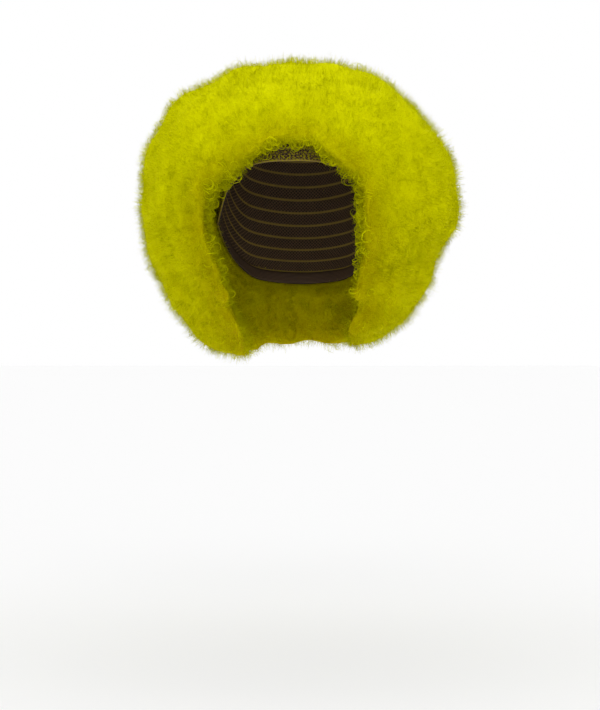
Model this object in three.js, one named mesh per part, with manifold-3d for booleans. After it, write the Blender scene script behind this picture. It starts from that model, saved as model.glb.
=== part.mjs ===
// Afro wig: a full round mass of tight curls, sewn to a net cap that an elastic band edges.
// Millimetres, +Z up. The wearer faces -Y with the left hand towards +X, and the origin is where the
// top of the head meets the cap. Left and right are the wearer's own.
import * as THREE from "three";
import { LoftGeometry } from "three/addons/geometries/LoftGeometry.js";
import { mergeVertices } from "three/addons/utils/BufferGeometryUtils.js";
import Module from "manifold-3d";

// The head that the wig fits
const HEAD_BREADTH = 152;
const HEAD_LENGTH = 192;
const HEAD_HEIGHT = 215; // top of the head to the chin
const HEAD_SQUARENESS = 2.2; // exponent of the head's level sections: 2 is an ellipse

// Net cap and the band along its rim
const CAP_WALL = 1.5;
const BAND_WALL = 1.2;
const BAND_WIDTH = 12;
const FRONT_RIM_DROP = 62; // top of the head to the rim at the forehead
const EAR_RIM_DROP = 118; // to the lowest point of the tab in front of the ear
const NAPE_RIM_DROP = 166; // to the rim at the nape
const SEAM_GAP = 0.3; // between pieces that are sewn together

// How far the hair stands off the head
const CROWN_HAIR = 43;
const SIDE_HAIR = 87;
const FRONT_HAIR = 44;
const BACK_HAIR = 62;
const HAIR_BELOW_CHIN = 24;
const HAIR_CENTRE_DROP = 95; // top of the head to the height where the hair is widest

// Locks, which are rounded tufts fused to the mass, in rows like the wefts that hold them
const LOCK_PITCH = 59; // between neighbours
const LOCK_WIDTH = 76;
const LOCK_RISE = 7; // how far a tuft stands out of the mass
const TIP_SCATTER = 2; // how unevenly the tufts stand out
const SIZE_SCATTER = 0.1; // shares of the width, of the pitch and of the tuft's own direction
const PLACE_SCATTER = 0.12;
const LEAN_SCATTER = 0.2;
const LOCK_FULLNESS = 0.8; // height of a tuft as a share of its width
const LOCK_SIDES = 7;
const LOCK_RINGS = 5;

// Small curls along the edge of the face opening
const CURL_PITCH = 25; // between neighbours
const CURL_WIDTH = 26;
const CURL_OVERLAP = 0.4; // how far a curl's middle is set into the hair, as a share of its width
const CURL_ROWS = [0.15, 0.6]; // where they lie between the side hair's edge and the hair's front
const CURL_STAGGER = 5; // how far it stands forward or back of the row
const CURL_ROOT = 0.25; // least share of a curl that is inside the hair, so that it holds

// Opening for the face
const FACE_WIDTH = 128; // at the cheeks
const FACE_TOP_DROP = 50; // top of the head to the middle of the fringe's lower edge
const FACE_EDGE_SETBACK = 52; // from the middle of the head forward to where the side hair starts
const MASS_FLARE = 1.5; // how much wider the mass stands open at its front than at the face
const LOCK_FLARE = 1.15; // the same for the tufts, which round the opening's edge
const FLARE_RISE = 0.25; // how much of the flare raises the opening's top
const OPENING_STEPS = [0, 0.4, 0.8, 1.4]; // outlines from the side hair's edge (0) past the hair's front (1)

// Where the hair is divided into the sections that are sewn on one after another
const CROWN_ANGLE = 40; // half angle of the cone round the crown, from the middle of the head
const FRINGE_AZIMUTH = 42; // from straight ahead round to the fringe's ends
const FRINGE_BELOW_TOP = 32; // from the opening's top down to the lower end of the fringe's seams
const BACK_AZIMUTH = 128; // from straight ahead round to the back

const RING_SIDES = 22;
const WEDGE_SIDES = 6;
const WELD = 1e-4; // corners that lie this near are one
const HUB = HEAD_BREADTH / 8; // round the middle, inside every rim
const FAR = 2 * (HEAD_HEIGHT + HEAD_BREADTH); // outside everything

// The head's level sections from the neck up: drop is a share of HEAD_HEIGHT, side of half the breadth,
// front and back of half the length, and lean is how far the surface tips towards level, in degrees.
const HEAD_SECTIONS = [
  { drop: 1.3, side: 0.61, front: 0.35, back: 0.6, lean: 0 },
  { drop: 0.98, side: 0.61, front: 0.5, back: 0.6, lean: 0 },
  { drop: 0.92, side: 0.75, front: 0.9, back: 0.61, lean: 0 },
  { drop: 0.83, side: 0.86, front: 0.93, back: 0.65, lean: 0 },
  { drop: 0.73, side: 0.94, front: 0.95, back: 0.75, lean: 0 },
  { drop: 0.63, side: 0.98, front: 0.96, back: 0.88, lean: 0 },
  { drop: 0.53, side: 1.0, front: 0.98, back: 0.97, lean: 0 },
  { drop: 0.43, side: 1.0, front: 1.0, back: 1.0, lean: 0 },
  { drop: 0.32, side: 0.97, front: 0.98, back: 0.99, lean: 12 },
  { drop: 0.21, side: 0.88, front: 0.89, back: 0.93, lean: 27 },
  { drop: 0.12, side: 0.73, front: 0.73, back: 0.79, lean: 44 },
  { drop: 0.05, side: 0.5, front: 0.5, back: 0.54, lean: 60 },
  { drop: 0.012, side: 0.27, front: 0.26, back: 0.28, lean: 76 },
  { drop: 0, side: 0.06, front: 0.06, back: 0.06, lean: 90 },
];

// The cap's rim from the forehead round to the nape: azimuth from straight ahead, in degrees, and the
// drop as a mix of the three named ones.
const RIM = [
  { azimuth: 0, front: 1, ear: 0, nape: 0 },
  { azimuth: 28, front: 0.96, ear: 0.04, nape: 0 },
  { azimuth: 44, front: 0.68, ear: 0.32, nape: 0 },
  { azimuth: 58, front: 0.22, ear: 0.78, nape: 0 },
  { azimuth: 70, front: 0, ear: 1, nape: 0 },
  { azimuth: 82, front: 0.17, ear: 0.83, nape: 0 },
  { azimuth: 95, front: 0.22, ear: 0.78, nape: 0 },
  { azimuth: 108, front: 0, ear: 0.9, nape: 0.1 },
  { azimuth: 122, front: 0, ear: 0.45, nape: 0.55 },
  { azimuth: 140, front: 0, ear: 0.08, nape: 0.92 },
  { azimuth: 180, front: 0, ear: 0, nape: 1 },
];

// The outline of the hair from below to the top, seen from the front and the side: polar is the angle
// from straight up, in degrees, and the rest are shares of an ellipsoid that has the hair's own reaches.
const HAIR_SECTIONS = [
  { polar: 178, left: 1.01, right: 1.05, front: 1, back: 1 },
  { polar: 165, left: 1.03, right: 1.11, front: 0.92, back: 1.03 },
  { polar: 150, left: 1.03, right: 1.1, front: 0.8, back: 1.03 },
  { polar: 138, left: 1.06, right: 1.06, front: 0.74, back: 1.01 },
  { polar: 125, left: 0.911, right: 0.978, front: 0.76, back: 0.98 },
  { polar: 112, left: 0.877, right: 0.965, front: 0.82, back: 0.98 },
  { polar: 100, left: 0.928, right: 0.945, front: 0.9, back: 0.98 },
  { polar: 88, left: 0.966, right: 0.945, front: 0.97, back: 0.99 },
  { polar: 76, left: 0.962, right: 0.985, front: 1, back: 1 },
  { polar: 66, left: 1, right: 0.98, front: 1.01, back: 1 },
  { polar: 58, left: 1.005, right: 1.007, front: 1.02, back: 1.01 },
  { polar: 48, left: 0.985, right: 1.026, front: 1.03, back: 1.02 },
  { polar: 38, left: 1.035, right: 1.043, front: 1.03, back: 1.03 },
  { polar: 25, left: 1.025, right: 0.985, front: 1.02, back: 1.03 },
  { polar: 12, left: 0.99, right: 1.005, front: 1, back: 1 },
  { polar: 2, left: 1, right: 1.012, front: 1, back: 1 },
];

// The face opening's outline from its top down: left and right are shares of half FACE_WIDTH, and drop
// runs from 0 at the top of the opening to 1 at the chin. The wig sits a little round to the left, so
// the right side of the face shows more.
const FACE_OUTLINE = [
  { left: 0.16, right: 0.28, drop: 0 },
  { left: 0.3, right: 0.52, drop: 0.06 },
  { left: 0.5, right: 0.75, drop: 0.12 },
  { left: 0.78, right: 1, drop: 0.18 },
  { left: 0.84, right: 1.2, drop: 0.26 },
  { left: 0.85, right: 1.28, drop: 0.38 },
  { left: 0.87, right: 1.24, drop: 0.5 },
  { left: 0.87, right: 1.15, drop: 0.62 },
  { left: 0.83, right: 1.04, drop: 0.76 },
  { left: 0.71, right: 0.9, drop: 0.9 },
  { left: 0.68, right: 0.78, drop: 1 },
  { left: 0.66, right: 0.75, drop: 1.3 },
];

const HAIR_CENTRE = new THREE.Vector3(0, 0, -HAIR_CENTRE_DROP);
const UP = new THREE.Vector3(0, 0, 1);

const wasm = await Module();
wasm.setup();

const { degToRad, lerp } = THREE.MathUtils;

// A closed geometry as a solid that can be joined and cut.
function solid(geometry) {
  geometry.deleteAttribute("normal");
  geometry.deleteAttribute("uv");
  const merged = mergeVertices(geometry, WELD);
  return new wasm.Manifold(
    new wasm.Mesh({
      numProp: 3,
      vertProperties: merged.attributes.position.array,
      triVerts: new Uint32Array(merged.index.array),
    }),
  );
}

// A named mesh of a solid.
function piece(name, made, material) {
  const { vertProperties, triVerts } = made.getMesh();
  const geometry = new THREE.BufferGeometry();
  geometry.setAttribute("position", new THREE.BufferAttribute(vertProperties, 3));
  geometry.setIndex(new THREE.BufferAttribute(triVerts, 1));
  geometry.computeVertexNormals();
  const mesh = new THREE.Mesh(geometry, material);
  mesh.name = name;
  return mesh;
}

// A column of a table at a place between its rows.
function between(rows, key, at, column) {
  const rising = rows[0][key] < rows[rows.length - 1][key];
  const next = rows.findIndex((row) => (rising ? row[key] >= at : row[key] <= at));
  if (next < 1) return rows[next === 0 ? 0 : rows.length - 1][column];
  const [low, high] = [rows[next - 1], rows[next]];
  return lerp(low[column], high[column], (at - low[key]) / (high[key] - low[key]));
}

// Angles round a ring, anticlockwise from +X as seen from above.
function ringAngles() {
  return Array.from({ length: RING_SIDES }, (_, i) => (i / RING_SIDES) * 2 * Math.PI);
}

// How far round from straight ahead (-Y) an angle is, from 0 to 180 degrees.
function azimuthOf(angle) {
  return THREE.MathUtils.radToDeg(Math.acos(THREE.MathUtils.clamp(-Math.sin(angle), -1, 1)));
}

// The head and neck, grown by an offset, as a closed solid.
function headForm(offset) {
  const bend = (value) => Math.sign(value) * Math.abs(value) ** (2 / HEAD_SQUARENESS);
  const rings = HEAD_SECTIONS.map(({ drop, side, front, back, lean }) => {
    const out = offset * Math.cos(degToRad(lean));
    const z = -drop * HEAD_HEIGHT + offset * Math.sin(degToRad(lean));
    return ringAngles().map((angle) => {
      const reach = (Math.sin(angle) < 0 ? front : back) * (HEAD_LENGTH / 2) + out;
      const half = side * (HEAD_BREADTH / 2) + out;
      return new THREE.Vector3(half * bend(Math.cos(angle)), reach * bend(Math.sin(angle)), z);
    });
  });
  return solid(new LoftGeometry(rings, { capStart: true, capEnd: true }));
}

// How far below the top of the head the cap's rim lies at an angle round the head.
function rimDrop(angle) {
  const share = (column) => between(RIM, "azimuth", azimuthOf(angle), column);
  return share("front") * FRONT_RIM_DROP + share("ear") * EAR_RIM_DROP + share("nape") * NAPE_RIM_DROP;
}

// All the space above the cap's rim, or above a line that is raised from it.
function aboveRim(raised) {
  const ring = (radius, height) =>
    ringAngles().map(
      (angle) => new THREE.Vector3(radius * Math.cos(angle), radius * Math.sin(angle), height(angle)),
    );
  const rim = (angle) => raised - rimDrop(angle);
  const sections = [
    ring(HUB, () => raised - EAR_RIM_DROP),
    ring(2 * HUB, rim),
    ring(FAR, rim),
    ring(FAR, () => FAR),
  ];
  return solid(new LoftGeometry(sections, { capStart: true, capEnd: true }));
}

function netCap() {
  return headForm(CAP_WALL).subtract(headForm(0)).intersect(aboveRim(0));
}

function edgeBand() {
  const skin = headForm(-SEAM_GAP).subtract(headForm(-SEAM_GAP - BAND_WALL));
  return skin.intersect(aboveRim(0)).subtract(aboveRim(BAND_WIDTH));
}

// The hair's reach from its centre, before the shares of HAIR_SECTIONS.
function hairReach(direction) {
  const side = HEAD_BREADTH / 2 + SIDE_HAIR;
  const depth = HEAD_LENGTH / 2 + (direction.y < 0 ? FRONT_HAIR : BACK_HAIR);
  const rise = CROWN_HAIR + HAIR_CENTRE_DROP;
  const fall = HEAD_HEIGHT + HAIR_BELOW_CHIN - HAIR_CENTRE_DROP;
  return new THREE.Vector3(side, depth, direction.z > 0 ? rise : fall);
}

// A point of the hair's outline at a polar angle and an angle round, less an inset.
function hairPoint(polar, angle, inset = 0) {
  const direction = new THREE.Vector3().setFromSphericalCoords(1, degToRad(polar), 0);
  const across = direction.z;
  direction.set(across * Math.cos(angle), across * Math.sin(angle), direction.y);
  const share = (column) => between(HAIR_SECTIONS, "polar", polar, column);
  const side = share(Math.cos(angle) > 0 ? "left" : "right");
  const depth = share(Math.sin(angle) < 0 ? "front" : "back");
  const size = side * Math.cos(angle) ** 2 + depth * Math.sin(angle) ** 2;
  const point = hairReach(direction).multiplyScalar(size).multiply(direction);
  return point.setLength(point.length() - inset).add(HAIR_CENTRE);
}

// The mass of hair that the locks stand out of.
function hairMass() {
  const rings = HAIR_SECTIONS.map(({ polar }) =>
    ringAngles().map((angle) => hairPoint(polar, angle, LOCK_RISE)),
  );
  return solid(new LoftGeometry(rings, { capStart: true, capEnd: true }));
}

// A number from -1 to 1 that looks random but is the same each time.
function scatter(seed) {
  const wave = Math.sin(seed * 12.9898) * 43758.5453;
  return 2 * (wave - Math.floor(wave)) - 1;
}

// One rounded tuft whose tip lies at a point and which leans along a direction.
function lock(tip, outward, width, seed) {
  const spread = width * (1 + SIZE_SCATTER * scatter(seed));
  const height = spread * LOCK_FULLNESS;
  const lean = new THREE.Vector3(scatter(seed + 0.3), scatter(seed + 0.6), scatter(seed + 0.9));
  const axis = outward.clone().addScaledVector(lean, LEAN_SCATTER).normalize();
  const tuft = new THREE.SphereGeometry(0.5, LOCK_SIDES, LOCK_RINGS).rotateX(Math.PI / 2);
  const place = new THREE.Matrix4().compose(
    tip.clone().addScaledVector(axis, -height / 2),
    new THREE.Quaternion().setFromUnitVectors(UP, axis),
    new THREE.Vector3(spread, spread, height),
  );
  return solid(tuft.applyMatrix4(place));
}

// Rows of locks from the crown down to the nape, each row set off against the one above.
function locks() {
  const made = [];
  const middle = hairReach(UP).x;
  const rows = Math.round((Math.PI * middle) / LOCK_PITCH);
  for (let row = 0; row < rows; row++) {
    const polar = ((row + 0.5) / rows) * 180;
    const length = 2 * Math.PI * middle * Math.sin(degToRad(polar));
    const around = Math.max(3, Math.round(length / LOCK_PITCH));
    for (let i = 0; i < around; i++) {
      const seed = row * RING_SIDES + i;
      const place = i + (row % 2) / 2 + PLACE_SCATTER * scatter(seed);
      const tip = hairPoint(polar, (place / around) * 2 * Math.PI, TIP_SCATTER * scatter(seed + 0.5));
      made.push(lock(tip, tip.clone().sub(HAIR_CENTRE).normalize(), LOCK_WIDTH, seed));
    }
  }
  return made;
}

// The face opening's outline at a share of the way from the side hair's edge to the front of the hair,
// for an opening that widens by a flare and is grown by a margin.
function faceRing(share, widest, margin = 0) {
  const forward = lerp(FACE_EDGE_SETBACK, HEAD_LENGTH / 2 + FRONT_HAIR, share);
  const flare = lerp(1, widest, Math.max(0, share) ** 2);
  const tall = HEAD_HEIGHT - FACE_TOP_DROP;
  const point = (side, drop) => {
    const x = side * flare * (FACE_WIDTH / 2) + Math.sign(side) * margin;
    const above = margin + (flare - 1) * FLARE_RISE * tall * (1 - drop);
    return new THREE.Vector3(x, -forward, -FACE_TOP_DROP - drop * tall + above);
  };
  const left = FACE_OUTLINE.map((row) => point(row.left, row.drop));
  const right = FACE_OUTLINE.map((row) => point(-row.right, row.drop));
  return [...left.reverse(), ...right];
}

// The space in front of the face, which the hair leaves free.
function faceOpening(widest) {
  const middle = -FACE_EDGE_SETBACK / (HEAD_LENGTH / 2 + FRONT_HAIR - FACE_EDGE_SETBACK);
  const rings = [middle, ...OPENING_STEPS].map((share) => faceRing(share, widest));
  return solid(new LoftGeometry(rings, { capStart: true, capEnd: true }));
}

// One row of small curls that hang into the face opening from its edge.
function faceCurls(share) {
  const edge = new THREE.CatmullRomCurve3(faceRing(share, LOCK_FLARE, CURL_WIDTH * CURL_OVERLAP));
  const count = Math.round(edge.getLength() / CURL_PITCH);
  const beside = edge.getSpacedPoints(count).filter(({ z }) => z > -HEAD_HEIGHT);
  return beside.map((point, i) => {
    const level = -(FACE_TOP_DROP + HEAD_HEIGHT) / 2;
    const inward = new THREE.Vector3(-point.x, 0, (level - point.z) / 2).normalize();
    const seed = i + share;
    const tip = point.clone().addScaledVector(inward, CURL_WIDTH / 2);
    tip.y += CURL_STAGGER * scatter(seed);
    return lock(tip, inward, CURL_WIDTH, seed);
  });
}

// All the hair in one solid, hollow for the head and the cap. Curls that would hang free are left out.
function hair() {
  const open = hairMass().subtract(faceOpening(MASS_FLARE));
  const tufted = wasm.Manifold.union([open, ...locks()]).subtract(faceOpening(LOCK_FLARE));
  const curls = CURL_ROWS.flatMap(faceCurls);
  const rooted = curls.filter((curl) => curl.intersect(tufted).volume() > CURL_ROOT * curl.volume());
  return wasm.Manifold.union([tufted, ...rooted]).subtract(headForm(CAP_WALL + SEAM_GAP));
}

// The main body of a solid, without crumbs that a seam cuts off.
function mainBody(made) {
  return made.decompose().reduce((most, body) => (body.volume() > most.volume() ? body : most));
}

// The cone round the crown, let down by the gap to its neighbours where it cuts them.
function crownCone(lowered) {
  const slope = degToRad(CROWN_ANGLE);
  const profile = [
    new THREE.Vector2(0, 0),
    new THREE.Vector2(FAR * Math.tan(slope), FAR),
    new THREE.Vector2(0, FAR),
  ];
  const cone = new THREE.LatheGeometry(profile, RING_SIDES).rotateX(Math.PI / 2);
  return solid(cone.translate(0, 0, HAIR_CENTRE.z - lowered / Math.sin(slope)));
}

// An upright wedge between two azimuths, counted anticlockwise from straight ahead as seen from above,
// with its two upright faces moved out by half the gap between pieces, or in.
function wedge(from, to, outward = -1) {
  const half = degToRad((to - from) / 2);
  const corners = Array.from({ length: WEDGE_SIDES + 1 }, (_, i) => {
    const angle = degToRad(lerp(from, to, i / WEDGE_SIDES));
    return new THREE.Vector2(Math.sin(angle), -Math.cos(angle)).multiplyScalar(FAR);
  });
  const shape = new THREE.Shape([new THREE.Vector2(0, 0), ...corners]);
  const prism = new THREE.ExtrudeGeometry(shape, { depth: 2 * FAR, bevelEnabled: false });
  const middle = degToRad((from + to) / 2);
  const shift = (-outward * SEAM_GAP) / 2 / Math.sin(half);
  return solid(prism.translate(shift * Math.sin(middle), -shift * Math.cos(middle), -FAR));
}

// The space of the fringe: in front, and above a level.
function fringeSpace(outward) {
  const level = -FACE_TOP_DROP - FRINGE_BELOW_TOP - (outward * SEAM_GAP) / 2;
  const above = new THREE.BoxGeometry(2 * FAR, 2 * FAR, 2 * FAR).translate(0, 0, FAR + level);
  return wedge(-FRINGE_AZIMUTH, FRINGE_AZIMUTH, outward).intersect(solid(above));
}

const netting = new THREE.MeshStandardMaterial({ color: "#3a2a1c", roughness: 0.9, metalness: 0 });
const elastic = new THREE.MeshStandardMaterial({ color: "#4a3624", roughness: 0.8, metalness: 0 });
const yellowFibre = new THREE.MeshStandardMaterial({ color: "#c3c400", roughness: 0.6, metalness: 0 });

const wholeHair = hair();
const lowerHair = wholeHair.subtract(crownCone(SEAM_GAP));
const sideHair = lowerHair.subtract(fringeSpace(1));
const sections = {
  crown_hair: wholeHair.intersect(crownCone(0)),
  fringe: lowerHair.intersect(fringeSpace(-1)),
  left_side_hair: sideHair.intersect(wedge(0, BACK_AZIMUTH)),
  right_side_hair: sideHair.intersect(wedge(-BACK_AZIMUTH, 0)),
  back_hair: lowerHair.intersect(wedge(BACK_AZIMUTH, 360 - BACK_AZIMUTH)),
};

const wig = new THREE.Group();
wig.name = "afro_wig";
wig.add(piece("net_cap", netCap(), netting), piece("edge_band", edgeBand(), elastic));
for (const [name, section] of Object.entries(sections)) {
  wig.add(piece(name, mainBody(section), yellowFibre));
}

export default wig;
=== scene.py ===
"""Looks of a full round afro wig of frizzed yellow fibre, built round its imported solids."""

import logging
import math
from dataclasses import dataclass, field
from enum import Enum
from typing import Optional

import bpy
import numpy as np
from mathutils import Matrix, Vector
from mathutils.bvhtree import BVHTree
from mathutils.kdtree import KDTree


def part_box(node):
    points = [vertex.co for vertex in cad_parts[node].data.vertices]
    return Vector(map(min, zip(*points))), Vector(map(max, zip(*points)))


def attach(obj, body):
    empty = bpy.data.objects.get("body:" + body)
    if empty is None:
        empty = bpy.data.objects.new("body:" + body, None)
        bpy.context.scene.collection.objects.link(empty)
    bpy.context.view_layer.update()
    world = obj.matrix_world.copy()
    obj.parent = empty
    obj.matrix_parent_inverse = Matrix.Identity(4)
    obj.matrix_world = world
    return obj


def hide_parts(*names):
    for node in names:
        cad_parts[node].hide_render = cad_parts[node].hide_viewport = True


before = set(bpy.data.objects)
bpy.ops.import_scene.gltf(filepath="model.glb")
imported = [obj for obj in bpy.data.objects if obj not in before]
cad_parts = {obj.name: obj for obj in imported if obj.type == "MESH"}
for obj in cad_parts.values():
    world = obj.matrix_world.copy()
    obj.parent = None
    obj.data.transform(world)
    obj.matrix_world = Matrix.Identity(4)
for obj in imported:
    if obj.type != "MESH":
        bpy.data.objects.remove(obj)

log = logging.getLogger("wig")
MM = 0.001
CENTRE_DROP = 95 * MM  # from the origin down to the middle of the hair
HAIR_CENTRE = np.array([0.0, 0.0, -CENTRE_DROP])
HAIR_NODES = ("crown_hair", "fringe", "left_side_hair", "right_side_hair", "back_hair")


# Small helpers


def linear(hex_colour: str) -> tuple[float, float, float, float]:
    """Turn an sRGB hex colour into the linear values that a shader wants.

    Args:
        hex_colour: a colour such as "#c3c400".

    Returns:
        Linear red, green and blue, and an alpha of 1.
    """
    values = [int(hex_colour[i : i + 2], 16) / 255 for i in (1, 3, 5)]
    straight = [v / 12.92 if v <= 0.04045 else ((v + 0.055) / 1.055) ** 2.4 for v in values]
    return (*straight, 1.0)


def deselect_all() -> None:
    """Leave object mode clean, with nothing selected."""
    if bpy.context.object and bpy.context.object.mode != "OBJECT":
        bpy.ops.object.mode_set(mode="OBJECT")
    bpy.ops.object.select_all(action="DESELECT")


def pick(*pieces: bpy.types.Object) -> bpy.types.Object:
    """Select only these pieces and make the first one active.

    Args:
        pieces: the pieces to select.

    Returns:
        The active piece.
    """
    deselect_all()
    for piece in pieces:
        piece.select_set(True)
    bpy.context.view_layer.objects.active = pieces[0]
    return pieces[0]


def apply_modifier(piece: bpy.types.Object, kind: str, **settings: object) -> None:
    """Add a modifier to a piece and apply it.

    Args:
        piece: the piece to change.
        kind: Blender's name for the modifier type.
        settings: the modifier's own settings.
    """
    pick(piece)
    modifier = piece.modifiers.new(kind.lower(), kind)
    for name, value in settings.items():
        setattr(modifier, name, value)
    bpy.ops.object.modifier_apply(modifier=modifier.name)


def read_points(piece: bpy.types.Object) -> np.ndarray:
    """Give a piece's vertices as an array of points.

    Args:
        piece: a mesh piece.

    Returns:
        An array with a row for each vertex.
    """
    flat = np.zeros(len(piece.data.vertices) * 3)
    piece.data.vertices.foreach_get("co", flat)
    return flat.reshape(-1, 3)


def read_normals(piece: bpy.types.Object) -> np.ndarray:
    """Give a piece's vertex normals as an array.

    Args:
        piece: a mesh piece.

    Returns:
        An array with a row for each vertex.
    """
    flat = np.zeros(len(piece.data.vertices) * 3)
    piece.data.vertices.foreach_get("normal", flat)
    return flat.reshape(-1, 3)


def write_points(piece: bpy.types.Object, points: np.ndarray) -> None:
    """Move a piece's vertices to an array of points.

    Args:
        piece: a mesh piece.
        points: a row for each vertex.
    """
    piece.data.vertices.foreach_set("co", np.ascontiguousarray(points, float).ravel())
    piece.data.update()


def unit(rows: np.ndarray) -> np.ndarray:
    """Scale each row of an array to length one.

    Args:
        rows: vectors along the last axis.

    Returns:
        The same vectors at length one.
    """
    return rows / np.maximum(np.linalg.norm(rows, axis=-1, keepdims=True), 1e-12)


def tree_of(piece: bpy.types.Object) -> BVHTree:
    """Make a search tree of a piece's faces, in the part's frame.

    Args:
        piece: a mesh piece whose object sits at the origin.

    Returns:
        The search tree.
    """
    faces = [polygon.vertices[:] for polygon in piece.data.polygons]
    return BVHTree.FromPolygons(read_points(piece).tolist(), faces)


def paint_tone(piece: bpy.types.Object, tone: np.ndarray) -> None:
    """Give each vertex its lightness, painted shade and light included, which the fibre's material reads.

    Args:
        piece: the piece to paint.
        tone: a number for each vertex, from 0 in deep shade to 1 in full light, and more on a lone tip.
    """
    attribute = piece.data.color_attributes.new("tone_and_painted_light", "FLOAT_COLOR", "POINT")
    grey = np.asarray(tone, float)[:, None]
    attribute.data.foreach_set("color", np.hstack([grey, grey, grey, np.ones_like(grey)]).ravel())


def dress(piece: bpy.types.Object, material: bpy.types.Material) -> None:
    """Give a piece its finish, its body and its place in the record.

    Args:
        piece: the finished piece.
        material: its only material.
    """
    piece.data.materials.clear()
    piece.data.materials.append(material)
    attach(piece, "root")
    piece.data.calc_loop_triangles()
    log.info("%s: %d triangles", piece.name, len(piece.data.loop_triangles))


# Finishes


def add_node(
    tree: bpy.types.NodeTree, kind: str, settings: Optional[dict] = None, links: Optional[dict] = None
) -> bpy.types.Node:
    """Add a shader node with its settings and links.

    Args:
        tree: the material's node tree.
        kind: the node's type name, such as ShaderNodeTexNoise.
        settings: node attributes, or input values by socket name.
        links: output sockets to link, by input socket name or number.

    Returns:
        The new node.
    """
    node = tree.nodes.new(kind)
    for name, value in (settings or {}).items():
        if isinstance(name, str) and hasattr(node, name):
            setattr(node, name, value)
        else:
            node.inputs[name].default_value = value
    for name, socket in (links or {}).items():
        tree.links.new(socket, node.inputs[name])
    return node


def new_tree(name: str) -> tuple[bpy.types.Material, bpy.types.NodeTree]:
    """Make an empty node material.

    Args:
        name: the material's name.

    Returns:
        The material and its cleared node tree.
    """
    material = bpy.data.materials.new(name)
    material.use_nodes = True
    material.node_tree.nodes.clear()
    return material, material.node_tree


def place_stops(colours: bpy.types.ColorRamp, stops: dict[float, str]) -> None:
    """Give a colour ramp its stops.

    Args:
        colours: the ramp, with its two first stops.
        stops: sRGB hex colours by their place from 0 to 1.
    """
    while len(colours.elements) < len(stops):
        colours.elements.new(0.5)
    for element, (place, colour) in zip(colours.elements, sorted(stops.items())):
        element.position = place
        element.color = linear(colour)


@dataclass(frozen=True)
class FrizzedFibre:
    """Crimped modacrylic fibre, spun from a dyed solution and frizzed with heat.

    To the eye it is matt and even in colour. Light passes through it, so its shadows stay soft. Its tone
    turns from lemon to olive in painted shade towards the opening, in hollows and low down, and lighter in
    painted light at the top, on the opening's very edge and at the strands' tips.
    """

    name: str = "frizzed_modacrylic_fibre"
    # deep is the warmer olive of painted shade
    deep: str = "#907a00"
    body: str = "#bdb900"
    light: str = "#d8db00"
    lone: str = "#f2f200"  # the lightest, on the lightest strands and in the painted light at their tips: one fibre by itself takes up little of the light that passes it
    strand_mm: float = 3.4  # a real fibre is 0.07 mm, too fine to show: these lines are bundles
    strand_share: float = 0.25  # how much of the lines goes into the tone
    puff_mm: float = 15.0  # a soft tuft of the real hair
    puff_share: float = 0.25
    darkest: float = 0.16  # the tones that the ramp's ends stand for
    lightest: float = 1.66

    def make(self) -> bpy.types.Material:
        """Build the material: the piece's tone with painted shade and light, soft puffs, and swirling lines
        in colour and bump.

        Returns:
            The finished material.
        """
        material, tree = new_tree(self.name)
        place = add_node(tree, "ShaderNodeTexCoord").outputs["Object"]
        tone = add_node(tree, "ShaderNodeAttribute", {"attribute_name": "tone_and_painted_light"})
        puffs = add_node(
            tree, "ShaderNodeTexNoise", {"Scale": 1 / (self.puff_mm * MM), "Detail": 3.0}, {"Vector": place}
        )
        # the lines run longer up and down, as the hair's weight draws them
        hang = add_node(tree, "ShaderNodeMapping", {"Scale": (1.0, 1.0, 0.55)}, {"Vector": place})
        lines = add_node(
            tree, "ShaderNodeTexNoise",
            {
                "noise_type": "RIDGED_MULTIFRACTAL", "Scale": 1 / (self.strand_mm * MM), "Detail": 2.5,
                "Roughness": 0.7, "Offset": 0.9, "Gain": 1.5, "Distortion": 2.2,
            },
            {"Vector": hang.outputs["Vector"]},
        )
        fine = add_node(
            tree, "ShaderNodeMapRange", {"From Min": 0.1, "From Max": 1.6}, {"Value": lines.outputs["Fac"]}
        )
        puffed = add_node(
            tree, "ShaderNodeMath", {"operation": "MULTIPLY_ADD", 1: self.puff_share},
            {0: puffs.outputs["Fac"], 2: tone.outputs["Fac"]},
        )
        mixed = add_node(
            tree, "ShaderNodeMath", {"operation": "MULTIPLY_ADD", 1: self.strand_share},
            {0: fine.outputs["Result"], 2: puffed.outputs[0]},
        )
        shade = add_node(
            tree, "ShaderNodeMapRange", {"From Min": self.darkest, "From Max": self.lightest},
            {"Value": mixed.outputs[0]},
        )
        # the ramp turns the tone, painted shade and light included, into colour
        dye_and_painted_light = add_node(tree, "ShaderNodeValToRGB", links={"Fac": shade.outputs["Result"]})
        place_stops(dye_and_painted_light.color_ramp, {0.0: self.deep, 0.37: self.body, 0.7: self.light, 1.0: self.lone})
        bump = add_node(
            tree, "ShaderNodeBump", {"Strength": 0.15, "Distance": 0.9 * MM},
            {"Height": fine.outputs["Result"]},
        )
        shader = add_node(
            tree, "ShaderNodeBsdfPrincipled",
            {
                "Roughness": 0.8,
                "IOR": 1.5,
                "Specular IOR Level": 0.02,  # the frizz scatters what one fibre would reflect
                "Specular Tint": linear(self.light),
                "Subsurface Weight": 0.8,
                "Subsurface Scale": 3.5 * MM,
                "Subsurface Radius": (1.0, 1.0, 0.4),  # the yellow dye takes up blue
            },
            {"Base Color": dye_and_painted_light.outputs["Color"], "Normal": bump.outputs["Normal"]},
        )
        add_node(tree, "ShaderNodeOutputMaterial", links={"Surface": shader.outputs["BSDF"]})
        return material


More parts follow.
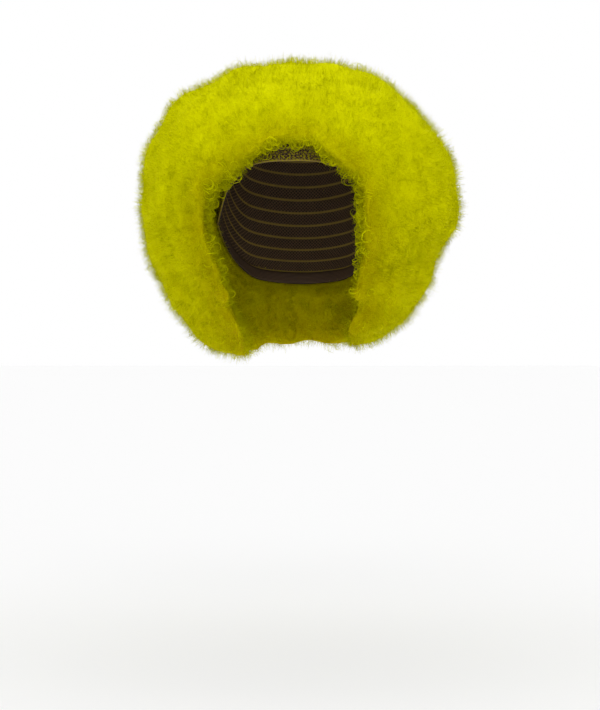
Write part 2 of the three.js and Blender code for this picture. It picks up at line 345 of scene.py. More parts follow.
@dataclass(frozen=True)
class CapNet:
    """Polyamide net, knitted, with the hair's wefts sewn on in rows.

    To the eye it is a matt dark mesh with lighter stitched rows, and near its rim it is speckled with
    the yellow knots of single fibres. Its holes are drawn near black, as painted shade behind the threads.
    """

    name: str = "knitted_polyamide_net"
    # painted shade in the holes of the net
    hole: str = "#251b12"
    thread: str = "#6a533b"
    stitch: str = "#8a7436"
    knot: str = "#9c9108"
    knot_mm: float = 2.0  # a real knot is 0.5 mm, too fine to show
    knots_from_rim_mm: tuple[float, float] = (8.0, 20.0)  # between these the knots thin out
    knot_share: tuple[float, float] = (0.46, 0.2)  # noise under this is a knot: at the rim, further in
    mesh_mm: float = 2.4  # a real net's holes are 1 mm, too fine to show
    thread_edge: tuple[float, float] = (0.1, 0.2)  # half a thread's width as a share of a hole
    weft_mm: float = 13.0  # from row to row, as on a real cap
    stitch_edge_mm: tuple[float, float] = (0.8, 1.4)  # half a stitched row's width

    def make(self) -> bpy.types.Material:
        """Build the material on the cap's own map, which is in metres round the cap and up from its rim.

        Returns:
            The finished material.
        """
        material, tree = new_tree(self.name)
        place = add_node(tree, "ShaderNodeUVMap", {"uv_map": "cap_metres"}).outputs["UV"]
        turned = add_node(
            tree, "ShaderNodeMapping",
            {"Rotation": (0, 0, math.radians(45)), "Scale": (1 / (self.mesh_mm * MM),) * 3},
            {"Vector": place},
        )
        cells = add_node(
            tree, "ShaderNodeTexVoronoi",
            {"feature": "DISTANCE_TO_EDGE", "voronoi_dimensions": "2D", "Scale": 1.0, "Randomness": 0.15},
            {"Vector": turned.outputs["Vector"]},
        )
        inside, outside = self.thread_edge
        threads = add_node(
            tree, "ShaderNodeMapRange",
            {"From Min": inside, "From Max": outside, "To Min": 1.0, "To Max": 0.0},
            {"Value": cells.outputs["Distance"]},
        )
        along = add_node(tree, "ShaderNodeSeparateXYZ", links={"Vector": place})
        row = add_node(
            tree, "ShaderNodeMath", {"operation": "PINGPONG", 1: self.weft_mm * MM / 2},
            {0: along.outputs["Y"]},
        )
        inside, outside = self.stitch_edge_mm
        weft = add_node(
            tree, "ShaderNodeMapRange",
            {"From Min": inside * MM, "From Max": outside * MM, "To Min": 1.0, "To Max": 0.0},
            {"Value": row.outputs[0]},
        )
        # painted shade: near black in the holes, brown on the threads
        net = add_node(tree, "ShaderNodeValToRGB", links={"Fac": threads.outputs["Result"]})
        place_stops(net.color_ramp, {0.0: self.hole, 1.0: self.thread})
        # a colour mix has its two colours at sockets 6 and 7
        sewn = add_node(
            tree, "ShaderNodeMix", {"data_type": "RGBA", 7: linear(self.stitch)},
            {"Factor": weft.outputs["Result"], 6: net.outputs["Color"]},
        )
        ends = add_node(
            tree, "ShaderNodeTexNoise", {"Scale": 1 / (self.knot_mm * MM), "Detail": 1.0}, {"Vector": place}
        )
        (near, far), (many, few) = self.knots_from_rim_mm, self.knot_share
        share = add_node(
            tree, "ShaderNodeMapRange",
            {"From Min": near * MM, "From Max": far * MM, "To Min": many, "To Max": few},
            {"Value": along.outputs["Y"]},
        )
        knots = add_node(
            tree, "ShaderNodeMath", {"operation": "LESS_THAN"},
            {0: ends.outputs["Fac"], 1: share.outputs["Result"]},
        )
        knotted = add_node(
            tree, "ShaderNodeMix", {"data_type": "RGBA", 7: linear(self.knot)},
            {"Factor": knots.outputs[0], 6: sewn.outputs[2]},
        )
        height = add_node(
            tree, "ShaderNodeMath", {"operation": "MAXIMUM"},
            {0: threads.outputs["Result"], 1: weft.outputs["Result"]},
        )
        bump = add_node(
            tree, "ShaderNodeBump", {"Strength": 0.8, "Distance": 0.5 * MM}, {"Height": height.outputs[0]}
        )
        shader = add_node(
            tree, "ShaderNodeBsdfPrincipled", {"Roughness": 0.85, "IOR": 1.53, "Specular IOR Level": 0.25},
            {"Base Color": knotted.outputs[2], "Normal": bump.outputs["Normal"]},
        )
        add_node(tree, "ShaderNodeOutputMaterial", links={"Surface": shader.outputs["BSDF"]})
        return material


@dataclass(frozen=True)
class WovenElastic:
    """Elastic tape, woven from polyester yarn over rubber cores.

    To the eye it has narrow ribs along its length, with painted shade dark between them, and a dull sheen.
    """

    name: str = "woven_elastic_tape"
    valley_painted_shade: str = "#2c2017"
    rib: str = "#5a4431"
    rib_mm: float = 1.5  # over a rubber core
    waves: float = 3.18  # bands that a wave texture draws to one unit at scale 1

    def make(self) -> bpy.types.Material:
        """Build the material on the band's own map, which is in metres.

        Returns:
            The finished material.
        """
        material, tree = new_tree(self.name)
        place = add_node(tree, "ShaderNodeUVMap", {"uv_map": "cap_metres"}).outputs["UV"]
        ribs = add_node(
            tree, "ShaderNodeTexWave",
            {
                "bands_direction": "Y", "Scale": 1 / (self.rib_mm * MM) / self.waves,
                "Distortion": 0.4, "Detail": 1.0,
            },
            {"Vector": place},
        )
        yarn = add_node(tree, "ShaderNodeValToRGB", links={"Fac": ribs.outputs["Fac"]})
        # painted shade: darker in the valleys between the ribs, where the bump is low
        place_stops(yarn.color_ramp, {0.1: self.valley_painted_shade, 0.8: self.rib})
        bump = add_node(
            tree, "ShaderNodeBump", {"Strength": 0.7, "Distance": 0.4 * MM}, {"Height": ribs.outputs["Fac"]}
        )
        shader = add_node(
            tree, "ShaderNodeBsdfPrincipled", {"Roughness": 0.7, "IOR": 1.5, "Specular IOR Level": 0.3},
            {"Base Color": yarn.outputs["Color"], "Normal": bump.outputs["Normal"]},
        )
        add_node(tree, "ShaderNodeOutputMaterial", links={"Surface": shader.outputs["BSDF"]})
        return material


@dataclass(frozen=True)
class PaintedPaper:
    """Coated white background paper of a studio's floor: to the eye plain, bright and without a sheen."""

    name: str = "white_background_paper"
    colour: str = "#fbfbfb"

    def make(self) -> bpy.types.Material:
        """Build the plain material.

        Returns:
            The finished material.
        """
        material, tree = new_tree(self.name)
        shader = add_node(
            tree, "ShaderNodeBsdfPrincipled",
            {"Base Color": linear(self.colour), "Roughness": 0.9, "Specular IOR Level": 0.0},
        )
        add_node(tree, "ShaderNodeOutputMaterial", links={"Surface": shader.outputs["BSDF"]})
        return material


# The mass of hair


@dataclass
class HairMass:
    """The dense body of the hair: the solids' own form, softened and puffed."""

    voxel: float = 3.0 * MM
    smoothing: int = 18  # passes that melt the sewn sections together
    outer_smoothing: int = 130  # passes that melt the tufts of the outer side
    edge_width: float = 26 * MM  # over this the outer smoothing fades in from the opening's edge
    edge_softness: float = 0.15  # the share of it that the edge still gets
    puff_size: float = 28 * MM
    puff_depth: float = 2.4 * MM
    frizz_size: float = 5 * MM
    frizz_depth: float = 0.5 * MM
    inset: float = 1.8 * MM  # the loose strands fill the hair out to its full size
    cap_clearance: float = 2.2 * MM  # from the nearest place on the cap's solid
    cap_reach: float = 18 * MM  # nearer to the cap than this, the hair's wall is drawn against it
    facing_slope: float = 2.0  # how fast that pull grows as a wall turns to face the cap
    facing_start: float = 0.4
    tone: float = 0.68
    painted_hollow_shade: float = 0.22  # painted shade: how much darker the tone is painted in the puffs' hollows, and lighter on their tops
    painted_edge_shade: float = 0.34  # painted shade: how much darker towards the opening, over the width below
    shade_width: float = 38 * MM
    painted_wall_light: float = 0.07  # painted light: how much lighter on the very edge of the walls, over the depth below
    wall_depth: float = 7 * MM
    painted_height_light: float = 0.2  # painted light and shade: what the tone gains from the middle of the hair to its top, darker low down and lighter above
    low_span: float = 130 * MM  # half the hair's height
    lit_height: float = 0.4  # the share of it at which the tone stays as it is
    off_wall: float = 0.5 * MM  # how far from the surface a ray starts, so that it misses its own face
    walls: KDTree = field(init=False)
    piece: bpy.types.Object = field(init=False)

    def build(self) -> bpy.types.Object:
        """Join the hair solids and give them a soft, puffed surface.

        Returns:
            The finished mass.
        """
        copies = []
        for node in HAIR_NODES:
            copy = bpy.data.objects.new("hair_mass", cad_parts[node].data.copy())
            bpy.context.scene.collection.objects.link(copy)
            copies.append(copy)
        self.piece = pick(*copies)
        bpy.ops.object.join()
        bpy.ops.object.mode_set(mode="EDIT")
        bpy.ops.mesh.select_all(action="SELECT")
        bpy.ops.mesh.remove_doubles(threshold=0.01 * MM)
        bpy.ops.object.mode_set(mode="OBJECT")
        apply_modifier(self.piece, "REMESH", mode="VOXEL", voxel_size=self.voxel)
        apply_modifier(self.piece, "SMOOTH", iterations=self.smoothing, factor=0.6)
        self.even_out()
        even = read_points(self.piece)
        self.puff("puffs", self.puff_size, self.puff_depth)
        self.puff("frizz", self.frizz_size, self.frizz_depth)
        apply_modifier(self.piece, "DISPLACE", strength=-self.inset, mid_level=0)
        apply_modifier(self.piece, "SMOOTH", iterations=1, factor=0.4)
        self.paint(even)
        self.meet_cap()
        self.piece.data.shade_smooth()
        return self.piece

    def find_walls(self) -> None:
        """Note which points line the hollow and its front opening: something lies further out than they."""
        tree = tree_of(self.piece)
        points = read_points(self.piece)
        ways = unit(points - HAIR_CENTRE)
        starts = points + read_normals(self.piece) * self.off_wall
        walls = [tree.ray_cast(Vector(a), Vector(b))[0] is not None for a, b in zip(starts, ways)]
        self.walls = KDTree(sum(walls))
        for i in np.flatnonzero(walls):
            self.walls.insert(Vector(points[i]), int(i))
        self.walls.balance()

    def gaps(self, points: np.ndarray) -> np.ndarray:
        """Give the distance of points from the walls of the hollow and its front opening."""
        return np.array([self.walls.find(Vector(point))[2] for point in points])

    def openness(self, gaps: np.ndarray, width: float) -> np.ndarray:
        """Turn distances from the walls into a smooth share.

        Args:
            gaps: distances from the walls.
            width: how far off counts as well away.

        Returns:
            A number for each: 0 on the walls, 1 well away.
        """
        share = np.minimum(1.0, gaps / width)
        return share * share * (3 - 2 * share)

    def shade(self, points: np.ndarray) -> np.ndarray:
        """Give the painted shade and light in the tone: darker at the opening and low down, lighter at the
        walls' edge and top.

        Args:
            points: places on the mass.

        Returns:
            A number for each, to add to its tone.
        """
        gaps = self.gaps(points)
        height = np.clip((points[:, 2] - HAIR_CENTRE[2]) / self.low_span, -1, 1)
        # painted shade, darker towards the opening
        deeper = self.painted_edge_shade * (self.openness(gaps, self.shade_width) - 1)
        # painted light on the walls' very edge
        lighter = self.painted_wall_light * np.exp(-((gaps / self.wall_depth) ** 2))
        # painted shade low down and painted light at the top
        return deeper + lighter + self.painted_height_light * (height - self.lit_height)

    def even_out(self) -> None:
        """Melt the solids' tufts into one cloud on the outer side, and leave the opening's edges."""
        self.find_walls()
        group = self.piece.vertex_groups.new(name="outer_side")
        for i, share in enumerate(self.openness(self.gaps(read_points(self.piece)), self.edge_width)):
            group.add([i], max(share, self.edge_softness), "REPLACE")
        apply_modifier(
            self.piece, "SMOOTH", iterations=self.outer_smoothing, factor=0.6, vertex_group="outer_side"
        )

    def puff(self, name: str, size: float, depth: float) -> None:
        """Raise or sink the surface by a cloud pattern.

        Args:
            name: the pattern's name.
            size: the pattern's size.
            depth: how far it raises the surface at most.
        """
        texture = bpy.data.textures.new(name, "CLOUDS")
        texture.noise_scale = size
        apply_modifier(
            self.piece, "DISPLACE", texture=texture, texture_coords="LOCAL", strength=depth, mid_level=0.4
        )

    def paint(self, even: np.ndarray) -> None:
        """Keep how far each point was raised or sunk as painted shade in the strands' tone, so that hollows
        are darker.

        Args:
            even: the points before they were raised or sunk.
        """
        points = read_points(self.piece)
        raised = ((points - even) * read_normals(self.piece)).sum(1)
        # painted shade: darker where the surface was sunk, lighter where it was raised
        hollow_shade = self.painted_hollow_shade * (raised - raised.mean()) / self.puff_depth
        paint_tone(self.piece, np.clip(self.tone + hollow_shade + self.shade(points), 0, 1))

    def meet_cap(self) -> None:
        """Lay the hollow's wall against the cap, close to it and nowhere through it."""
        cap = tree_of(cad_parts["net_cap"])
        low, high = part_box("net_cap")
        centre = (low + high) / 2
        points, normals = read_points(self.piece), read_normals(self.piece)
        for i, point in enumerate(points):
            place = cap.find_nearest(Vector(point), self.cap_reach)[0]
            if place is None:
                continue
            outward = (place - centre).normalized()
            beyond = (Vector(point) - place).dot(outward)
            share = min(1.0, max(0.0, beyond / self.cap_reach))
            kept = self.cap_clearance + (self.cap_reach - self.cap_clearance) * share**2
            move = kept - beyond
            if move < 0:  # drawn in only where the surface faces the cap
                facing = -self.facing_slope * Vector(normals[i]).dot(outward) - self.facing_start
                move *= min(1.0, max(0.0, facing))
            points[i] += np.array(outward) * move
        write_points(self.piece, points)


# Strands


class Curl(Enum):
    """The kinds of strand that the hair shows."""

    CRIMP = "crimp"
    RINGLET = "ringlet"
    EDGE = "edge_ringlet"
    FUZZ = "fuzz"


@dataclass(frozen=True)
class CurlShape:
    """How one kind of strand is made."""

    reach: tuple[float, float]  # length along its axis, from and to
    winding: tuple[float, float]  # radius of its turns
    turns: tuple[float, float]
    lift: tuple[float, float]  # how far its axis leaves the surface: 0 along it, 1 straight out
    sag: float  # how far both ends sink into the mass, as a share of its length
    thickness: float
    ends: tuple[float, float]  # share of the thickness at its root and at its tip
    sections: int
    tone: tuple[float, float]  # added to the tone of the mass beneath
    together: int  # strands that curl side by side in a lock
    spread: float  # how far they lie apart
    stray: float  # how far each takes its own way
    tip: float = 0.0  # painted light: how much lighter the free end is drawn, where light comes through it


SHAPES = {
    Curl.CRIMP: CurlShape(
        reach=(16 * MM, 30 * MM), winding=(1.4 * MM, 2.8 * MM), turns=(1.5, 2.6), lift=(0.0, 0.3), sag=0.18,
        thickness=0.27 * MM, ends=(0.45, 0.45), sections=10, tone=(0.3, 0.52), together=2, spread=2.8 * MM,
        stray=0.0,
    ),
    Curl.RINGLET: CurlShape(
        reach=(8 * MM, 15 * MM), winding=(2.0 * MM, 4.2 * MM), turns=(1.0, 2.0), lift=(0.0, 0.5), sag=0.18,
        thickness=0.4 * MM, ends=(0.45, 0.45), sections=12, tone=(0.25, 0.75), together=2, spread=1.4 * MM,
        stray=0.0,
    ),
    Curl.EDGE: CurlShape(
        reach=(6 * MM, 14 * MM), winding=(2.8 * MM, 5.2 * MM), turns=(1.0, 1.8), lift=(0.0, 0.4), sag=0.18,
        thickness=0.6 * MM, ends=(0.45, 0.45), sections=12, tone=(0.45, 0.9), together=2, spread=1.4 * MM,
        stray=0.0,
    ),
    Curl.FUZZ: CurlShape(
        reach=(3 * MM, 10 * MM), winding=(0.3 * MM, 1.2 * MM), turns=(0.2, 0.6), lift=(0.35, 0.95), sag=0.08,
        thickness=0.26 * MM, ends=(1.0, 0.4), sections=1, tone=(0.15, 0.35), together=3, spread=4.5 * MM,
        stray=1.0, tip=0.35,
    ),
}


LIGHTEST = 1.4  # the most that a strand's tone comes to before its tip
COVERED = 7 * MM  # nearer to the cap than this, the hair is hidden and has no strands


@dataclass(frozen=True)
class FrontOpening:
    """Where rays start, from inside the opening at the front, to find its walls."""

    turn: tuple[float, float] = (-78, 258)  # degrees, from the lower left over the top to the lower right
    across_mm: float = -6
    forward_mm: tuple[float, float] = (54, 124)
    drop_mm: float = 125
    reach: float = 110 * MM

    def ray(self, random: np.random.Generator) -> tuple[Vector, Vector, float]:
        """Draw a ray from the opening's middle line.

        Args:
            random: the source of random draws.

        Returns:
            Its start, its way and its length.
        """
        turn = math.radians(random.uniform(*self.turn))
        middle = Vector((self.across_mm * MM, -random.uniform(*self.forward_mm) * MM, -self.drop_mm * MM))
        return middle, Vector((math.cos(turn), 0, math.sin(turn))), self.reach


@dataclass(frozen=True)
class Unevenness:
    """How far strands stray, as shares, from the hair's flow and from the other strands of their lock."""

    flow: float = 0.7
    lift: float = 0.1
    turns: float = 0.04
    phase: float = 0.12
    winding: float = 0.1
    reach: float = 0.08


@dataclass
class Roots:
    """Places on the mass where strands start."""

    points: np.ndarray
    normals: np.ndarray
    nodes: np.ndarray  # number of the nearest hair node


def scatter_roots(mass: bpy.types.Object, count: int, random: np.random.Generator) -> Roots:
    """Choose places all over the mass that show, apart from the wall that the cap covers.

    Args:
        mass: the mass of hair.
        count: how many places to try.
        random: the source of random draws.

    Returns:
        The places that are kept.
    """
    mesh = mass.data
    mesh.calc_loop_triangles()
    corners = np.zeros(len(mesh.loop_triangles) * 3, int)
    mesh.loop_triangles.foreach_get("vertices", corners)
    a, b, c = read_points(mass)[corners].reshape(-1, 3, 3).transpose(1, 0, 2)
    crossed = np.cross(b - a, c - a)
    area = np.linalg.norm(crossed, axis=1)
    chosen = random.choice(len(area), count, p=area / area.sum())
    u, v = random.random((2, count, 1))
    over = u + v > 1
    u, v = np.where(over, 1 - u, u), np.where(over, 1 - v, v)
    points = a[chosen] + u * (b - a)[chosen] + v * (c - a)[chosen]
    normals = unit(crossed[chosen])
    cap = tree_of(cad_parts["net_cap"])
    trees = [tree_of(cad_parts[node]) for node in HAIR_NODES]
    keep, nearest = [], []
    for i, point in enumerate(points):
        place = Vector(point)
        if cap.find_nearest(place, COVERED)[0] is not None:
            continue
        gaps = [tree.find_nearest(place)[3] for tree in trees]
        keep.append(i)
        nearest.append(int(np.argmin(gaps)))
    return Roots(points[keep], normals[keep], np.array(nearest))


def edge_roots(mass: bpy.types.Object, count: int, random: np.random.Generator) -> Roots:
    """Choose places on the walls of the opening at the front, by rays from its middle.

    Args:
        mass: the mass of hair.
        count: how many places to try.
        random: the source of random draws.

    Returns:
        The places that are kept.
    """
    tree = tree_of(mass)
    trees = [tree_of(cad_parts[node]) for node in HAIR_NODES]
    points, normals, nearest = [], [], []
    for _ in range(count):
        place, normal, _, _ = tree.ray_cast(*FrontOpening().ray(random))
        if place is not None:
            points.append(place)
            normals.append(normal)
            nearest.append(int(np.argmin([t.find_nearest(place)[3] for t in trees])))
    return Roots(np.array(points), np.array(normals), np.array(nearest))


def flow(points: np.ndarray) -> np.ndarray:
    """Give the way that the curls lean at each point: it turns slowly, so that neighbours form tufts.

    Args:
        points: places on the mass.

    Returns:
        A direction for each place.
    """
    short = np.array([[1.0, 0.6, -0.4], [-0.5, 1.1, 0.7], [0.8, -0.7, 1.0]]) / (11 * MM)
    long = np.array([[-0.9, 0.3, 1.2], [1.2, 0.5, -0.6], [0.2, -1.3, 0.5]]) / (23 * MM)
    return unit(np.sin(points @ short.T) + np.sin(points @ long.T + 1.3))


def strand_lines(
    roots: Roots, shape: CurlShape, random: np.random.Generator
) -> tuple[np.ndarray, np.ndarray]:
    """Work out the strands' centre lines, and the way out of each turn.

    Args:
        roots: where the locks start.
        shape: how they are made.
        random: the source of random draws.

    Returns:
        Points along each strand, and a direction out of the turn at each point.
    """
    locks = len(roots.points)
    strands = locks * shape.together
    uneven = Unevenness()

    def draw(span: tuple[float, float], jitter: float = 0.0) -> np.ndarray:
        """Draw a number for each lock, and stray from it a little for each of its strands."""
        common = np.repeat(random.uniform(*span, size=(locks, 1, 1)), shape.together, axis=0)
        return common * (1 + jitter * random.normal(size=(strands, 1, 1)))

    normals = np.repeat(roots.normals, shape.together, axis=0)
    along = flow(roots.points) + uneven.flow * random.normal(size=(locks, 3))
    along = np.repeat(along, shape.together, axis=0) + shape.stray * random.normal(size=(strands, 3))
    along = unit(along - (along * normals).sum(1, keepdims=True) * normals)
    lift = draw(shape.lift, uneven.lift)[:, 0]
    axis = unit(along * (1 - lift) + normals * lift)
    side = unit(np.cross(axis, normals + 1e-3))
    other = np.cross(axis, side)
    step = np.linspace(0, 1, shape.sections + 1)[None, :, None]
    angle = 2 * math.pi * (draw(shape.turns, uneven.turns) * step + draw((0, 1)))
    angle += random.normal(size=(strands, 1, 1)) * uneven.phase
    out = side[:, None] * np.cos(angle) + other[:, None] * np.sin(angle)
    # a strand's turns are widest halfway, and its ends dip into the mass
    winding = draw(shape.winding, uneven.winding) * (0.75 + 0.25 * np.sin(math.pi * step))
    reach = draw(shape.reach, uneven.reach)
    sag = -normals[:, None] * reach * shape.sag * (2 * step - 1) ** 2
    # a lock's strands lie apart along the surface more than across it
    apart = random.normal(size=(strands, 1, 3)) * shape.spread * 0.5
    apart -= (apart * normals[:, None]).sum(2, keepdims=True) * normals[:, None] * 0.7
    # a flat strand has its root behind its start, a lifted one at it
    start = np.repeat(roots.points, shape.together, axis=0)[:, None] + apart
    start = start + normals[:, None] * winding * 0.4
    middle = start + axis[:, None] * reach * (step - 0.35 * (1 - lift[:, None])) + sag
    return middle + out * winding, out


def tube_mesh(
    name: str, lines: np.ndarray, out: np.ndarray, widths: np.ndarray, tone: np.ndarray
) -> bpy.types.Object:
    """Make closed three-sided tubes along many lines, as one piece.

    Args:
        name: the piece's name.
        lines: points along each strand.
        out: a direction across each strand at each point.
        widths: the width at each point of each strand.
        tone: the lightness at each point of each strand.

    Returns:
        The new piece.
    """
    count, points, _ = lines.shape
    ahead = unit(np.gradient(lines, axis=1))
    first = unit(out - (out * ahead).sum(2, keepdims=True) * ahead)
    second = np.cross(ahead, first)
    turn = np.arange(3) * 2 * math.pi / 3  # three sides are enough for a strand
    ring = first[:, :, None] * np.cos(turn)[:, None] + second[:, :, None] * np.sin(turn)[:, None]
    verts = lines[:, :, None] + ring * widths[:, :, None, None] / 2
    index = np.arange(count * points * 3).reshape(count, points, 3)
    here, there = index[:, :-1], index[:, 1:]
    quads = np.stack([here, np.roll(here, -1, 2), np.roll(there, -1, 2), there], -1).reshape(-1, 4)
    caps = np.concatenate([index[:, 0, ::-1], index[:, -1]])
    loops = np.concatenate([quads.ravel(), caps.ravel()])
    starts = np.concatenate([np.arange(len(quads)) * 4, len(quads) * 4 + np.arange(len(caps)) * 3])
    mesh = bpy.data.meshes.new(name)
    mesh.vertices.add(index.size)
    mesh.vertices.foreach_set("co", verts.ravel())
    mesh.loops.add(len(loops))
    mesh.loops.foreach_set("vertex_index", loops.astype(np.int32))
    mesh.polygons.add(len(starts))
    mesh.polygons.foreach_set("loop_start", starts.astype(np.int32))
    mesh.polygons.foreach_set("use_smooth", np.ones(len(starts), bool))
    mesh.update(calc_edges=True)
    mesh.validate()
    piece = bpy.data.objects.new(name, mesh)
    bpy.context.scene.collection.objects.link(piece)
    paint_tone(piece, np.repeat(tone.ravel(), 3))
    return piece


@dataclass
class Curls:
    """The loose strands that stand out of the mass, in a piece for each sewn section."""

    mass: HairMass
    counts: dict[Curl, int]  # how many locks of each kind are tried
    seed: int = 7
    pieces: list[bpy.types.Object] = field(default_factory=list)

    def build(self) -> list[bpy.types.Object]:
        """Grow every strand and sort them into the wig's sections, the curls apart from the fuzz.

        Returns:
            Two pieces for each hair node.
        """
        random = np.random.default_rng(self.seed)
        batches: dict[str, list[bpy.types.Object]] = {}
        for kind, count in self.counts.items():
            group = "fuzz" if kind is Curl.FUZZ else "curls"
            for node, part in self.grow(kind, count, random).items():
                batches.setdefault(f"{node}_{group}", []).append(part)
        for name, parts in batches.items():
            piece = pick(*parts)
            bpy.ops.object.join()
            piece.name = piece.data.name = name
            self.pieces.append(piece)
        return self.pieces

    def grow(self, kind: Curl, count: int, random: np.random.Generator) -> dict[str, bpy.types.Object]:
        """Grow the strands of one kind.

        Args:
            kind: the kind of strand.
            count: how many locks are tried.
            random: the source of random draws.

        Returns:
            A piece for each hair node.
        """
        shape = SHAPES[kind]
        place = edge_roots if kind is Curl.EDGE else scatter_roots
        roots = place(self.mass.piece, count, random)
        lines, out = strand_lines(roots, shape, random)
        steps = np.linspace(0, 1, shape.sections + 1)
        # full width over the middle, and thinner towards both ends
        profile = np.interp(steps, [0, 0.3, 0.7, 1], [shape.ends[0], 1, 1, shape.ends[1]])
        widths = shape.thickness * random.uniform(0.75, 1.25, (len(lines), 1)) * profile
        # the strands take the painted shade and light of the mass beneath them
        below = np.repeat(self.mass.tone + self.mass.shade(roots.points), shape.together)
        drawn = np.clip(below + random.uniform(*shape.tone, len(lines)), 0, LIGHTEST)
        # painted light, lighter towards the free tip
        tone = drawn[:, None] + shape.tip * steps
        parts = {}
        for number, node in enumerate(HAIR_NODES):
            here = np.repeat(roots.nodes == number, shape.together)
            parts[node] = tube_mesh(f"{node}_{kind.value}", lines[here], out[here], widths[here], tone[here])
        return parts


# The cap and its band


@dataclass
class CapShell:
    """A smooth shell round the hollow, drawn over the inner side of a solid: the net cap or its band."""

    node: str
    columns: int = 96
    rows: int = 36
    wall: float = 1.0 * MM
    angle_step: float = 0.5  # degrees between the rays that look for a solid's edges
    lowest_angle: float = 160
    pole: float = 0.001  # radians: the top ring stays this far from straight up
    piece: bpy.types.Object = field(init=False)

    def build(self) -> bpy.types.Object:
        """Roll a grid round the hollow, set it on the solid, close its seam and give it a wall.

        Returns:
            The finished shell.
        """
        deselect_all()
        bpy.ops.mesh.primitive_grid_add(x_subdivisions=self.columns, y_subdivisions=self.rows, size=1)
        self.piece = bpy.context.object
        self.piece.name = self.piece.data.name = f"{self.node}_shell"
        self.piece.data.uv_layers[0].name = "cap_metres"
        flat = read_points(self.piece)
        column = np.rint((flat[:, 0] + 0.5) * self.columns).astype(int) % self.columns
        row = np.rint((0.5 - flat[:, 1]) * self.rows).astype(int)
        rolled = self.rings()
        write_points(self.piece, rolled[row, column])
        self.map_in_metres(rolled, row, column)
        bpy.ops.object.mode_set(mode="EDIT")
        bpy.ops.mesh.select_all(action="SELECT")
        bpy.ops.mesh.remove_doubles(threshold=0.02 * MM)
        bpy.ops.mesh.normals_make_consistent(inside=False)
        bpy.ops.object.mode_set(mode="OBJECT")
        apply_modifier(self.piece, "SOLIDIFY", thickness=self.wall, offset=1.0, use_even_offset=True)
        self.piece.data.shade_smooth()
        return self.piece

    def rings(self) -> np.ndarray:
        """Measure the solid's inner side from the middle of the hair.

        Returns:
            Rows of rings of points, from the top down.
        """
        tree = tree_of(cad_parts[self.node])
        azimuths = 2 * math.pi * np.arange(self.columns) / self.columns
        highest = self.smooth(np.array([self.edge(tree, a, True) for a in azimuths]))
        lowest = self.smooth(np.array([self.edge(tree, a, False) for a in azimuths]))
        if highest.max() < math.radians(self.angle_step):  # the solid closes over the top
            highest[:] = 0
        rings = []
        for share in np.linspace(0, 1, self.rows + 1):
            polar = highest + (lowest - highest) * share
            reach = np.array([self.reach(tree, a, max(p, self.pole)) for a, p in zip(azimuths, polar)])
            reach = self.smooth(self.fill(reach))
            level = reach * np.sin(polar)
            height = reach * np.cos(polar) - CENTRE_DROP
            rings.append(np.stack([level * np.cos(azimuths), level * np.sin(azimuths), height], -1))
        return np.array(rings)

    def map_in_metres(self, rolled: np.ndarray, row: np.ndarray, column: np.ndarray) -> None:
        """Turn the grid's map into metres round the hollow and up from the rim.

        Args:
            rolled: rows of rings of points.
            row: the row of each vertex.
            column: the column of each vertex.
        """
        steps = np.linalg.norm(np.diff(rolled, axis=0), axis=2)
        from_rim = np.vstack([np.cumsum(steps[::-1], axis=0)[::-1], np.zeros((1, self.columns))])
        girth = 2 * math.pi * np.linalg.norm(rolled[:, :, :2], axis=2).max()
        corner = np.zeros(len(self.piece.data.loops), int)
        self.piece.data.loops.foreach_get("vertex_index", corner)
        layer = self.piece.data.uv_layers["cap_metres"].data
        flat = np.zeros(len(layer) * 2)
        layer.foreach_get("uv", flat)
        uv = flat.reshape(-1, 2)
        uv[:, 0] *= girth
        uv[:, 1] = from_rim[row[corner], column[corner]]
        layer.foreach_set("uv", uv.ravel())

    def reach(self, tree: BVHTree, azimuth: float, polar: float) -> float:
        """Give the distance from the middle of the hair to the solid, or nan where there is none.

        Args:
            tree: the solid's search tree.
            azimuth: the way round.
            polar: the angle from straight up.

        Returns:
            The distance.
        """
        level = math.sin(polar)
        way = Vector((level * math.cos(azimuth), level * math.sin(azimuth), math.cos(polar)))
        hit = tree.ray_cast(Vector(HAIR_CENTRE), way)
        return math.nan if hit[0] is None else hit[3]

    def edge(self, tree: BVHTree, azimuth: float, upper: bool) -> float:
        """Find the solid's upper or lower edge at an azimuth, as an angle from straight up.

        Args:
            tree: the solid's search tree.
            azimuth: the way round.
            upper: whether the upper edge is wanted.

        Returns:
            The angle of the edge.
        """
        angles = np.radians(np.arange(self.angle_step / 10, self.lowest_angle, self.angle_step))
        hits = [a for a in angles if not math.isnan(self.reach(tree, azimuth, a))]
        return min(hits) if upper else max(hits)

    @staticmethod
    def fill(values: np.ndarray) -> np.ndarray:
        """Bridge the gaps in a ring of values.

        Args:
            values: numbers round a ring, with nan for a gap.

        Returns:
            The ring without gaps.
        """
        known = ~np.isnan(values)
        return np.interp(np.arange(len(values)), np.flatnonzero(known), values[known], period=len(values))

    @staticmethod
    def smooth(values: np.ndarray, passes: int = 6) -> np.ndarray:
        """Even out a ring of values.

        Args:
            values: numbers round a ring.
            passes: how many times each is drawn towards its neighbours.

        Returns:
            The smoother ring.
        """
        for _ in range(passes):
            values = (np.roll(values, 1) + 2 * values + np.roll(values, -1)) / 4
        return values


# The studio


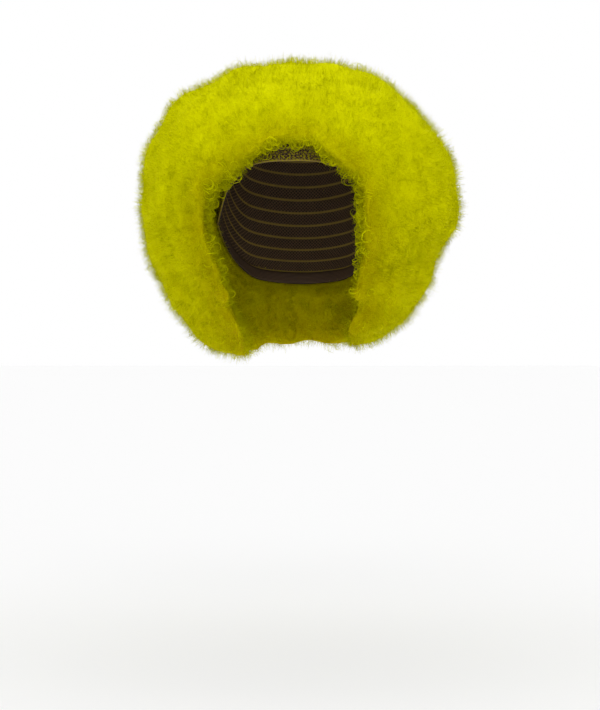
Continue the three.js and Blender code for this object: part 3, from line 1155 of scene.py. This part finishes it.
@dataclass
class Studio:
    """A plain white floor, soft lights and the camera at the photograph's angle."""

    floor_drop: float = 0.52  # below the origin, under a wig that is held up
    floor_size: float = 80.0  # wide enough to reach the horizon
    air_light: float = 0.34
    camera_place: tuple[float, float, float] = (0.002, -1.5, -0.2356)
    lens: float = 80.06

    def build(self) -> None:
        """Build the floor, the lights and the camera."""
        self.floor()
        self.soft_sun("top_softlight", strength=1.9, spread=100, tilt=12)
        self.soft_sun("front_softlight", strength=0.86, spread=60, tilt=75)
        self.air()
        bpy.context.scene.view_settings.view_transform = "Standard"
        self.camera()

    def air(self) -> None:
        """Fill the studio with even light in front of a plain white background."""
        world = bpy.data.worlds.new("studio_air")
        world.use_nodes = True
        tree = world.node_tree
        tree.nodes.clear()
        light = add_node(tree, "ShaderNodeBackground", {"Color": (1, 1, 1, 1), "Strength": self.air_light})
        white = add_node(tree, "ShaderNodeBackground", {"Color": (1, 1, 1, 1), "Strength": 1.0})
        seen = add_node(tree, "ShaderNodeLightPath")
        mix = add_node(
            tree, "ShaderNodeMixShader",
            links={0: seen.outputs["Is Camera Ray"], 1: light.outputs[0], 2: white.outputs[0]},
        )
        add_node(tree, "ShaderNodeOutputWorld", links={"Surface": mix.outputs[0]})
        bpy.context.scene.world = world

    def floor(self) -> None:
        """Lay the paper of the floor, level and a little way under the part."""
        deselect_all()
        bpy.ops.mesh.primitive_plane_add(size=self.floor_size, location=(0, 0, -self.floor_drop))
        floor = bpy.context.object
        floor.name = "studio_floor"
        bpy.ops.object.transform_apply(location=True, rotation=True, scale=True)
        floor.data.materials.append(PaintedPaper().make())

    def soft_sun(self, name: str, strength: float, spread: float, tilt: float) -> None:
        """Hang a wide soft light over or in front of the part.

        Args:
            name: the light's name.
            strength: its power on each square metre.
            spread: how wide it is, in degrees.
            tilt: how far it leans to the front from straight overhead, in degrees.
        """
        data = bpy.data.lights.new(name, "SUN")
        data.energy, data.angle = strength, math.radians(spread)
        light = bpy.data.objects.new(name, data)
        light.location = (0, -1, 2)
        light.rotation_euler = (math.radians(tilt), 0, 0)
        bpy.context.scene.collection.objects.link(light)

    def camera(self) -> None:
        """Set the camera level, in front of the opening."""
        data = bpy.data.cameras.new("front_camera")
        data.sensor_width, data.lens = 36, self.lens
        camera = bpy.data.objects.new("front_camera", data)
        camera.location = self.camera_place
        camera.rotation_euler = (math.pi / 2, 0, 0)
        bpy.context.scene.collection.objects.link(camera)
        bpy.context.scene.camera = camera


def corners(box: tuple[Vector, Vector]) -> list[list[float]]:
    """Turn a box's two corners into plain lists."""
    return [[float(x) for x in corner] for corner in box]


def main() -> None:
    """Build the wig's pieces in order, and report each one."""
    logging.basicConfig(level=logging.INFO, format="%(name)s %(message)s")
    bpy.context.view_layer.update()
    Studio().build()
    fibre, net, elastic = FrizzedFibre().make(), CapNet().make(), WovenElastic().make()

    cap = CapShell("net_cap").build()
    dress(cap, net)
    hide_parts("net_cap")
    band = CapShell("edge_band", rows=5, wall=1.2 * MM).build()
    dress(band, elastic)
    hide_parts("edge_band")

    mass = HairMass()
    dress(mass.build(), fibre)
    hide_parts(*HAIR_NODES)
    curls = Curls(mass, {Curl.CRIMP: 900, Curl.RINGLET: 320, Curl.EDGE: 460, Curl.FUZZ: 31000})
    for piece in curls.build():
        dress(piece, fibre)


if __name__ == "__main__":
    main()
